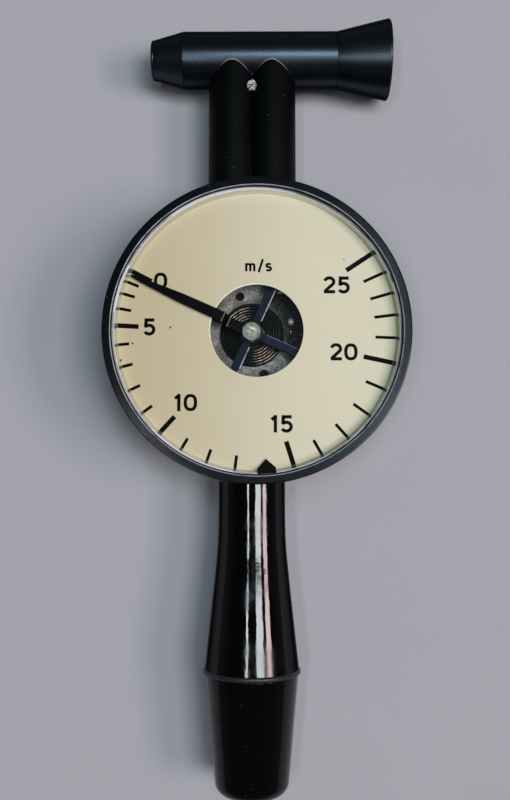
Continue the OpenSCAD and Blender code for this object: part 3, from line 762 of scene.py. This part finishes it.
# %% [markdown]
# ## Numerals
#
# The numerals are plain upright figures of even stroke. A font would bring its own shapes, so each
# figure is drawn as strokes instead: lines and parts of ellipses on a box one unit high, widened like
# the marks. The unit of speed stands above the hub.

# %% Figures from strokes
STROKE, FLATNESS = 0.097, 0.82


def bow(cx, cy, rx, ry, start, end, steps=20):
    """Part of an ellipse about cx, cy, from one angle to another, in degrees."""
    t = np.radians(np.linspace(start, end, steps))
    return np.c_[cx + rx * np.cos(t), cy + ry * np.sin(t)]


def loop(cx, cy, rx, ry, steps=48):
    """A closed oval whose sides are flatter than an ellipse's: cosine and sine to a power below 1."""
    t = np.radians(np.linspace(90, 450, steps))
    c, s = np.cos(t), np.sin(t)
    return np.c_[cx + rx * np.sign(c) * abs(c) ** FLATNESS, cy + ry * np.sign(s) * abs(s) ** FLATNESS]


def line(*points):
    """A straight stroke from point to point."""
    return np.array(points, float)


TOP, FOOT = 1 - STROKE, STROKE
FIGURES = {
    "0": (0.76, [loop(0.38, 0.5, 0.295, 0.5 - STROKE)]),
    "1": (0.52, [line((0.36, 1.0), (0.36, 0.0)), line((0.40, 0.93), (0.13, 0.74))]),
    "2": (0.70, [np.vstack([bow(0.35, 0.69, 0.26, 0.228, 168, -38), [[0.085, 0.12]]]),
                 line((0.03, FOOT), (0.69, FOOT))]),
    "5": (0.70, [line((0.11, TOP), (0.65, TOP)), line((0.175, 1.0), (0.145, 0.47)),
                 bow(0.345, 0.335, 0.275, 0.255, 146, -152, 28)]),
    "m": (0.98, [line((0.12, 0.70), (0.12, 0.0)),
                 np.vstack([bow(0.29, 0.45, 0.17, 0.175, 180, 0, 14), [[0.46, 0.0]]]),
                 np.vstack([bow(0.63, 0.45, 0.17, 0.175, 180, 0, 14), [[0.80, 0.0]]])]),
    "/": (0.46, [line((0.05, -0.08), (0.41, 1.05))]),
    "s": (0.60, [np.vstack([bow(0.30, 0.50, 0.185, 0.135, 25, 262, 18),
                            bow(0.30, 0.22, 0.20, 0.145, 82, -155, 18)])]),
}
NUMERAL_HEIGHT, UNIT_HEIGHT, LETTER_GAP = 5.6, 3.9, 0.13
NUMERALS = (("0", (-29.8, 16.4)), ("5", (-33.4, 1.2)), ("10", (-21.6, -23.6)), ("15", (9.5, -30.5)),
            ("20", (30.0, -7.1)), ("25", (27.8, 15.0)))
UNIT_PLACE = (2.3, 21.5)


def word_strokes(word, centre, height):
    """The strokes of a word set side by side and centred on a point of the dial."""
    widths = np.array([FIGURES[c][0] for c in word]) + LETTER_GAP
    starts = np.r_[0, np.cumsum(widths)[:-1]]
    middle = np.array([(widths.sum() - LETTER_GAP) / 2, 0.5])
    return [
        (stroke + (start, 0) - middle) * height + centre
        for start, c in zip(starts, word)
        for stroke in FIGURES[c][1]
    ]


def print_word(name, word, centre, height):
    """Prints a word on the dial as one piece."""
    points, faces = slabs(word_strokes(word, centre, height), STROKE * height, ink_low, ink_high)
    piece(name, points, faces, ink_paint, "case")


for word, centre in NUMERALS:
    print_word("numeral_" + word, word, centre, NUMERAL_HEIGHT)
print_word("unit_of_speed", "m/s", UNIT_PLACE, UNIT_HEIGHT)

# %% [markdown]
# ## The pointer
#
# The pointer is a flat blade in matt black. It is fixed to the cross at its root, steps up through the
# dial's hole in one slanting joggle, and narrows towards its tip. A blade is a path in side view with a
# width at each point of it, so rows of eight corners along the path make it. The two bends carry painted
# highlights, and the paint finds them by the distance along the blade.

# %% Pointer blade
STEP_R, STEP_RUN, STEP_EASE = 8.4, 1.7, 0.3
STEP_END = STEP_R + STEP_RUN
BLADE_T, BLADE_EDGE = 0.5, 0.12
BENDS, BEND_HALF = (STEP_R - 0.05, STEP_END), 0.18
TIP_R = -low("pointer")[0] / math.cos(math.pi - POINTER_ANGLE)
step_r = [STEP_R - STEP_EASE, STEP_R, STEP_END, STEP_END + STEP_EASE]
blade_r = np.array([0.0, 3.0, *step_r, 25.0, 37.0, 43.2, TIP_R])
blade_half = np.array([1.75, 1.75, 1.75, 1.75, 1.75, 1.75, 1.6, 0.95, 0.42, 0.12])
blade_top = np.interp(blade_r, [STEP_R, STEP_END], [pointer_low + BLADE_T, pointer_high])


def bar_sections(r, half, top, foot, chamfer):
    """Eight corners of a flat bar's section at each distance along it: r along, half to either side, from
    foot to top, with a chamfer at each long edge."""
    side = np.stack([half - chamfer, half, half, half - chamfer], 1)
    rise = np.stack([top, top - chamfer, foot + chamfer, foot], 1)
    side = np.concatenate([side, -side[:, ::-1]], 1)
    rise = np.concatenate([rise, rise[:, ::-1]], 1)
    return np.stack([np.repeat(r[:, None], 8, 1), side, rise], -1)


def bar_faces(rows):
    """The faces of a bar of so many sections: its sides and its two ends."""
    ends = [list(range(8)), list(range(8 * rows - 8, 8 * rows))]
    return grid_faces(rows, 8, loop_columns=True).tolist() + ends


def aimed(points, turn):
    """Turns points about the rotor's axis: x cos - y sin, x sin + y cos."""
    x, y, z = np.moveaxis(points, -1, 0)
    c, s = math.cos(turn), math.sin(turn)
    return np.stack([x * c - y * s, x * s + y * c, z], -1)


blade = aimed(bar_sections(blade_r, blade_half, blade_top, blade_top - BLADE_T, BLADE_EDGE), POINTER_ANGLE)
pointer_paint = satin("pointer_black", (0.0015, 0.0015, 0.002), 0.5, 0.12, 0.01, 0.04)
x, y, z = pointer_paint.xyz(pointer_paint.place())
along = x * math.cos(POINTER_ANGLE) + y * math.sin(POINTER_ANGLE)
# painted highlights on the two bends
bend_highlight = (abs(along - BENDS[0]) < BEND_HALF) + (abs(along - BENDS[1]) < BEND_HALF)
pointer_paint["Base Color"] = pointer_paint.mix(bend_highlight * 0.6, pointer_paint.colour, (0.24, 0.23, 0.22))
blade_faces = bar_faces(len(blade_r))
pointer_blade = piece("pointer_blade", blade, blade_faces, pointer_paint, "rotor")
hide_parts("pointer")

# %% [markdown]
# ## The cross behind it
#
# Under the pointer a cross of four arms turns with it: one backs the blade, the others carry brass
# balance weights. The arms are blue-black, black round the nut, and a painted highlight draws a bright
# line along one long side of each. Two arms in one line are one bar with chamfered edges, and the
# second bar is the first turned by a quarter.

# %% Cross arms
ARM_HALF, ARM_LEN, ARM_EDGE = 1.5, 21.5, 0.22
LINE_HALF, LINE_IN, LINE_DEPTH, LINE_START_R = 0.2, 0.1, 0.7, 5.0
HUB_BLACK_R = 5.2
HUB_R, SHAFT_R, HUB_PROUD = 3.6, 1.5, 0.02
cross_paint = satin("cross_blue_black", (0.0015, 0.005, 0.020), 0.40, 0.15, 0.01, 0.08)
where = cross_paint.place()
x, y, z = cross_paint.xyz(where)
u = x * math.cos(POINTER_ANGLE) + y * math.sin(POINTER_ANGLE)
v = y * math.cos(POINTER_ANGLE) - x * math.sin(POINTER_ANGLE)
from_axis = cross_paint.hypot(x, y)
# painted highlight: a bright line along one long edge of each arm, broken by noise
edge_near = (z > cross_high - LINE_DEPTH) * (from_axis > LINE_START_R)
highlight_long = (abs(v + ARM_HALF - LINE_IN) < LINE_HALF) * (abs(u) > ARM_HALF)
highlight_cross = (abs(u + ARM_HALF - LINE_IN) < LINE_HALF) * (abs(v) > ARM_HALF)
chips = cross_paint.specks(where, 1.1, 0.13)
broken = cross_paint.ramp(cross_paint.noise(where, 0.5), 0.3, 0.5)
painted_edge_highlight = edge_near * (highlight_cross + highlight_long * 0.35) * broken
tinted = cross_paint.mix(chips * 0.7, cross_paint.colour, (0.16, 0.20, 0.30))
tinted = cross_paint.mix(from_axis < HUB_BLACK_R, tinted, grey(0.0025))
cross_paint["Base Color"] = cross_paint.mix(painted_edge_highlight, tinted, (0.45, 0.48, 0.52))

bar_r = np.array([-ARM_LEN, -ARM_LEN + ARM_EDGE, ARM_LEN - ARM_EDGE, ARM_LEN])
bar_half = np.array([ARM_HALF - ARM_EDGE, ARM_HALF, ARM_HALF, ARM_HALF - ARM_EDGE])
bar = bar_sections(bar_r, bar_half, np.full(4, cross_high), np.full(4, cross_low), ARM_EDGE)


def cross_bar(number, turn):
    """One bar of the cross, turned this far from the pointer's direction."""
    points = aimed(bar, POINTER_ANGLE + turn)
    return piece(f"cross_bar_{number}", points, bar_faces(len(bar_r)), cross_paint, "rotor")


first_bar = cross_bar(1, 0)
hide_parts("pointer_cross")
cross_bar(2, math.pi / 2)
hub_top = cross_high + HUB_PROUD
hub_corners = [(cross_low, SHAFT_R), (cross_low, HUB_R), (hub_top, HUB_R), (hub_top, SHAFT_R)]
hub_outline = rounded(hub_corners, [0.1, 0.1, 0.2, 0.1], 3)
lathe("cross_hub", hub_outline, (0, 0, 0), (0, 0, 1), cross_paint, "rotor", 35, 48)

# %% [markdown]
# ## Bright metal: nut, shaft, screws, stud and brass
#
# Bare metal needs something to mirror, and fine scratches that blur it. One function makes a metal from
# its colour, a noise that scratches it and a dull film that darkens it in places. Two are patchy: the head
# screw is dark with bare patches that carry painted glints, and the shaft's end has dull painted glints.

# %% Metals
def metal(name, colour, roughness, scratch, dull, bright=1.0):
    """A metal with cloudy tarnish, which takes the share dull of its colour, and fine scratches, which
    crowd along each axis as scratch says. bright is 1 for polished metal and less for a dull plating,
    whose fine pits scatter the light as paint does."""
    paint = Paint(name, {"Metallic": bright})
    where = paint.place()
    tarnish = paint.ramp(paint.noise(where, 0.7, 4.0, 0.65), 0.35, 0.7)
    lines = paint.noise(paint.stretched(where, *scratch), 0.8, 3.0)
    paint["Base Color"] = paint.mix(tarnish, colour, tuple(c * (1 - dull) for c in colour))
    paint["Roughness"] = roughness + lines * 0.15 + tarnish * 0.08
    paint.bump(lines, 0.01)
    return paint


coat(metal("dull_nickel", (0.19, 0.185, 0.175), 0.34, (3, 3, 3), 0.5, 0.45), "hub_nut")
coat(metal("stud_silver", (0.60, 0.60, 0.57), 0.30, (2, 2, 2), 0.4, 0.4), "spring_stud")
coat(metal("zinc_steel", (0.66, 0.67, 0.66), 0.25, (4, 1, 1), 0.7, 0.6),
     "case_screws", "cover_screws", "carrier_screws", "handle_stud", "handle_nut")
coat(metal("turned_brass", (0.62, 0.47, 0.22), 0.30, (2, 2, 6), 0.45, 0.7),
     "rear_bearing", "vane_rivets", "balance_weights")
coat(metal("rolled_aluminium", (0.72, 0.73, 0.74), 0.35, (1, 1, 5), 0.25), "vane", "vane_hub")

screw_paint = metal("worn_screw", (0.66, 0.67, 0.66), 0.2, (1, 1, 1), 0.5, 0.5)
# dark paint with bare patches, painted near white as glints of light on the bare metal
bare_and_glinting = screw_paint.ramp(screw_paint.noise(screw_paint.place(), 1.1, 4.0, 0.6), 0.44, 0.53)
screw_paint["Base Color"] = screw_paint.mix(bare_and_glinting, (0.030, 0.030, 0.026), (0.98, 0.96, 0.90))
coat(screw_paint, "head_screw")

shaft_paint = metal("shaft_steel", (0.50, 0.47, 0.38), 0.22, (2, 2, 2), 0.6, 0.6)
# painted highlights: a few dull glints on the shaft's end
painted_glints = shaft_paint.ramp(shaft_paint.noise(shaft_paint.place(), 1.3, 3.0), 0.45, 0.58)
shaft_paint["Base Color"] = shaft_paint.mix(painted_glints, (0.11, 0.09, 0.055), (0.30, 0.27, 0.19))
coat(shaft_paint, "rotor_shaft")
print("seven metals")

# %% [markdown]
# ## Cast and blasted metal
#
# The ring that carries the hairspring is grey blasted metal, grainy, pitted and stained with age, and a
# painted shadow makes its right side, which the dial's edge shades, nearly black. The block that holds the
# wind tunnel is a casting, and its cover is a black moulding. Grain comes from a fine noise in both the
# colour and the bump, and the stains from a slow one.

# %% Grainy metals
PIT_SHARE = 0.28
SHADOW_FROM, SHADOW_FULL = 7.0, 11.0


def blasted(name, pale, stain, roughness):
    """Grey metal with a grain of two sizes and dark stains in clouds. Between the grains the colour falls
    to PIT_SHARE of the pale one."""
    paint = Paint(name, {"Metallic": 0.25, "Specular IOR Level": 0.1})
    where = paint.place()
    coarse = paint.noise(where, 1.7, 4.0, 0.75)
    grain = paint.noise(where, 4.5, 2.0)
    cloud = paint.ramp(paint.noise(where, 0.16, 3.0), 0.45, 0.62)
    pitted = paint.ramp(coarse * 0.6 + grain * 0.4, 0.42, 0.58)
    speckled = paint.mix(pitted, pale, tuple(PIT_SHARE * c for c in pale))
    paint.colour = paint.mix(cloud * 0.7, speckled, stain)
    paint["Base Color"] = paint.colour
    paint["Roughness"] = roughness + grain * 0.2
    paint.bump(coarse * 0.5 + grain * 0.5, 0.05)
    return paint


carrier_paint = blasted("carrier_grey", (0.38, 0.37, 0.36), (0.07, 0.05, 0.04), 0.42)
x, y, z = carrier_paint.xyz(carrier_paint.place())
# painted shadow: the recess's right side, shaded by the dial's edge, goes nearly black
painted_shadow = carrier_paint.ramp(x * 0.94 + y * 0.34, SHADOW_FROM, SHADOW_FULL)
shadowed = carrier_paint.mix(painted_shadow * 0.95, carrier_paint.colour, (0.006, 0.004, 0.003))
pits = carrier_paint.specks(carrier_paint.place(), 1.4, 0.16)
carrier_paint["Base Color"] = carrier_paint.mix(pits * 0.5, shadowed, (0.60, 0.59, 0.55))
coat(carrier_paint, "spring_carrier")
coat(blasted("block_casting", (0.26, 0.265, 0.27), (0.12, 0.12, 0.12), 0.50), "tunnel_block")
coat(satin("cover_moulding", (0.003, 0.004, 0.003), 0.5, 0.2, 0.012, 0.08), "chamber_cover")
print("carrier, block and cover")

# %% [markdown]
# ## The hairspring
#
# The hairspring is a flat strip of bronze wound on edge. It is a spiral: the radius grows evenly with
# the angle, then swings out and runs on to the stud. A solid made of short chords is enough for the
# physics, but a camera sees its corners, so the strip is built again with many points to a turn and a
# rounded top edge.

# %% Hairspring strip
SPRING_TURNS, POINTS_A_TURN, STRIP = 8, 96, 0.22
COLLET_R, SPRING_OUT_R, SWING_START, SWING_END = 2.6, 9.9, -40.0, -14.0
STUD_RING_R, STUD_ANGLE, STUD_REACH = 13.9, 18.5, 3.4
LEAD_R = STUD_RING_R - 1

spring_t = np.linspace(0, 1, POINTS_A_TURN * SPRING_TURNS + 1)
spiral_r = COLLET_R + STRIP / 2 + (SPRING_OUT_R - COLLET_R) * spring_t
spiral_a = SWING_START - 360 * SPRING_TURNS * (1 - spring_t)
swing_t = np.linspace(0, 1, 25)[1:]
swing_r = spiral_r[-1] + (LEAD_R - spiral_r[-1]) * swing_t**2 * (3 - 2 * swing_t)
swing_a = SWING_START + (SWING_END - SWING_START) * swing_t
lead_a = np.linspace(SWING_END, STUD_ANGLE - STUD_REACH, 17)[1:]
line_r = np.r_[spiral_r, swing_r, np.full(len(lead_a), LEAD_R)]
line_a = np.radians(np.r_[spiral_a, swing_a, lead_a])
crown = np.radians(np.linspace(0, 180, 7))
offsets = STRIP / 2 * np.r_[np.cos(crown), -1.0, 1.0]
levels = np.r_[spring_high - STRIP / 2 * (1 - np.sin(crown)), spring_low, spring_low]
corners = len(offsets)
section_r = line_r[:, None] + offsets
strip_grid = np.stack([section_r * np.cos(line_a)[:, None], section_r * np.sin(line_a)[:, None],
                       np.tile(levels, (len(line_r), 1))], -1)
strip_faces = grid_faces(len(line_r), corners, loop_columns=True).tolist()
strip_ends = [list(range(corners)), list(range(corners * (len(line_r) - 1), corners * len(line_r)))]
print(f"hairspring line of {len(line_r)} points, out to {line_r.max():.1f} mm")

# %% [markdown]
# ## Aged bronze
#
# The bronze has gone dark, and its top edge glints in two patches that face each other across the
# shaft. A real glint would need a lamp just so, and would slide when the camera moves, so the glints
# are in the colour: where the strip runs square to one direction, and only on its crown.

# %% Bronze paint
GLINT_TURN = math.radians(-58)
GLINT_FROM, GLINT_FULL = 4.6, 6.2
CROWN_DEPTH = 0.25
spring_paint = Paint("aged_bronze", {"Metallic": 0.4, "Roughness": 0.3})
where = spring_paint.place()
x, y, z = spring_paint.xyz(where)
outward = spring_paint.hypot(x, y)
facing = abs(x * math.cos(GLINT_TURN) + y * math.sin(GLINT_TURN)) / outward
glint = spring_paint.ramp(facing, 0.86, 0.98) * spring_paint.ramp(outward, GLINT_FROM, GLINT_FULL)
glint = glint * spring_paint.ramp(z, spring_high - CROWN_DEPTH, spring_high)
uneven = spring_paint.ramp(spring_paint.noise(where, 0.9, 2.0), 0.30, 0.55)
spring_paint["Base Color"] = spring_paint.mix(glint * uneven, (0.008, 0.006, 0.004), (1.0, 0.72, 0.60))
coat(spring_paint, "spring_collet", "front_bearing")
spring_strip = piece("hairspring_strip", strip_grid, strip_faces + strip_ends, spring_paint, "carrier",
                     50)
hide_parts("hairspring")

# %% [markdown]
# ## The drop of lacquer
#
# Beside the stud a drop of red-brown lacquer locks the spring's end. A drop is a dome that is longer
# than it is wide, with an uneven edge: a half ball whose radius wavers with the angle.

# %% Lacquer drop
LACQUER_AT = np.array([13.2, 1.3])
LACQUER_HALF = np.array([1.2, 2.1])
LACQUER_HEIGHT, LACQUER_FOOT = 1.5, carrier_z - 1.6
LACQUER_RINGS, LACQUER_SIDES = 10, 40
lift = np.linspace(0, math.pi / 2, LACQUER_RINGS)[:, None]
around = np.linspace(0, 2 * math.pi, LACQUER_SIDES, endpoint=False)
waver = 1 + 0.10 * np.sin(3 * around + 0.7) + 0.06 * np.sin(5 * around)
spread = waver * np.cos(lift)
drop = np.stack([
    LACQUER_AT[0] + LACQUER_HALF[0] * spread * np.cos(around),
    LACQUER_AT[1] + LACQUER_HALF[1] * spread * np.sin(around),
    LACQUER_FOOT + LACQUER_HEIGHT * np.sin(lift) * np.ones(LACQUER_SIDES),
], -1)
lacquer_paint = Paint("red_lacquer", {"Roughness": 0.12, "Coat Weight": 0.6})
cloud = lacquer_paint.noise(lacquer_paint.place(), 0.8)
lacquer_paint["Base Color"] = lacquer_paint.mix(cloud, (0.035, 0.010, 0.010), (0.10, 0.022, 0.018))
drop_faces = grid_faces(LACQUER_RINGS, LACQUER_SIDES, loop_columns=True).tolist()
drop_faces += [list(range(LACQUER_SIDES))]
piece("lacquer_drop", drop, drop_faces, lacquer_paint, "carrier", 60)

# %% [markdown]
# ## The handle
#
# The handle is turned and polished: a straight neck that swells to a ring, and a cap that tapers
# away below it. One paint serves both. Above the ring it is a dark metal, as on the head, so that the
# grip mirrors the windows but hardly the floor at its sides, and wide smears of wear blur its mirror in
# places. Below the ring it is plain polished black.

# %% Handle paint
GLOSS, WORN_GLOSS, RIPPLE = 0.06, 0.10, 0.055
RING_Y = -high("handle_ring")[1]

gloss_paint = Paint("polished_black")
where = gloss_paint.place()
x, y, z = gloss_paint.xyz(where)
smear = gloss_paint.noise(where, 0.09, 4.0, 0.6)
orange_peel = gloss_paint.noise(where, 0.9, 2.0)
fleck = gloss_paint.specks(where, 0.35, 0.05)
on_grip = y > -RING_Y
polish = gloss_paint.mix(on_grip, grey(0.002), grey(0.043))
gloss_paint["Base Color"] = gloss_paint.mix(fleck * 0.3, polish, grey(0.20))
hold_glare(gloss_paint, 0.35, on_grip)
gloss_paint["Roughness"] = GLOSS + gloss_paint.ramp(smear, 0.42, 0.62) * on_grip * WORN_GLOSS
ripple = gloss_paint.noise(gloss_paint.stretched(where, 1.0, 0.3, 1.0), 0.35, 2.0)
gloss_paint.bump(ripple + orange_peel * 0.1, RIPPLE)
ring_paint = satin("ring_matt", (0.010, 0.012, 0.014), 0.42, 0.5, 0.01, 0.5)
print("polished black and matt black")

# %% [markdown]
# ## Grip, ring and cap
#
# Long reflections show the least facet, so the three pieces are turned again with many rows. The grip
# is a straight neck joined to a cone by a hyperbola, which has no corner anywhere. With s the slope,
# c the place where neck and cone would meet and b the softness, its radius at a distance y down the
# handle is neck + s/2 (y - c + sqrt((y - c)^2 + b^2)).

# %% Handle pieces
NECK_R, NECK_TOP = 11.2, 49.2
RING_T = high("handle_ring")[1] - low("handle_ring")[1]
HANDLE_END = -low("handle_cap")[1]
GRIP_SLOPE, GRIP_CORNER, GRIP_BLEND = 0.1094, 69.6, 6.0
CAP_TOP_R, CAP_SLOPE, CAP_ROUND = 15.6, 0.105, 4.5
BORE_R, STUD_END = 3.02, 138.0
HANDLE_ORIGIN, HANDLE_AXIS = (0, 0, handle_z), (0, -1, 0)

grip_y = np.linspace(NECK_TOP, RING_Y, 90)
past_corner = grip_y - GRIP_CORNER
grip_r = NECK_R + GRIP_SLOPE / 2 * (past_corner + np.sqrt(past_corner**2 + GRIP_BLEND**2))
grip_outline = np.vstack([[[NECK_TOP, BORE_R]], np.c_[grip_y, grip_r], [[RING_Y, BORE_R]]])
grip = lathe("grip_turned", grip_outline, HANDLE_ORIGIN, HANDLE_AXIS, gloss_paint, "case")
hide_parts("handle_grip")

ring_end = RING_Y + RING_T
ring_corners = [(RING_Y, BORE_R), (RING_Y, ring_r), (ring_end, ring_r), (ring_end, BORE_R)]
ring_outline = rounded(ring_corners, [0.05, 0.75, 0.75, 0.05], 7)
band = lathe("ring_turned", ring_outline, HANDLE_ORIGIN, HANDLE_AXIS, ring_paint, "case")
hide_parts("handle_ring")

cap_end_r = CAP_TOP_R - CAP_SLOPE * (HANDLE_END - CAP_ROUND - ring_end)
cap_corners = [(ring_end, BORE_R), (ring_end, CAP_TOP_R), (HANDLE_END, cap_end_r)]
cap_corners += [(HANDLE_END, 0), (STUD_END, 0), (STUD_END, BORE_R)]
cap_outline = rounded(cap_corners, [0.05, 0.25, CAP_ROUND, 0, 0, 0.1], 12)
cap = lathe("cap_turned", cap_outline, HANDLE_ORIGIN, HANDLE_AXIS, gloss_paint, "case")
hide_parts("handle_cap")

# %% [markdown]
# ## Sizes, and the end
#
# The dressed instrument has to keep the solids' size, so the box of what is shown is compared with the
# box of the solids, and how far its high corner grew is printed.

# %% Compare the boxes and finish
dressed_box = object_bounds()
growth = [round((dressed - cad) / MM, 2) for dressed, cad in zip(dressed_box[1], cad_box[1])]
print("grew by", growth, "mm at the high corner")
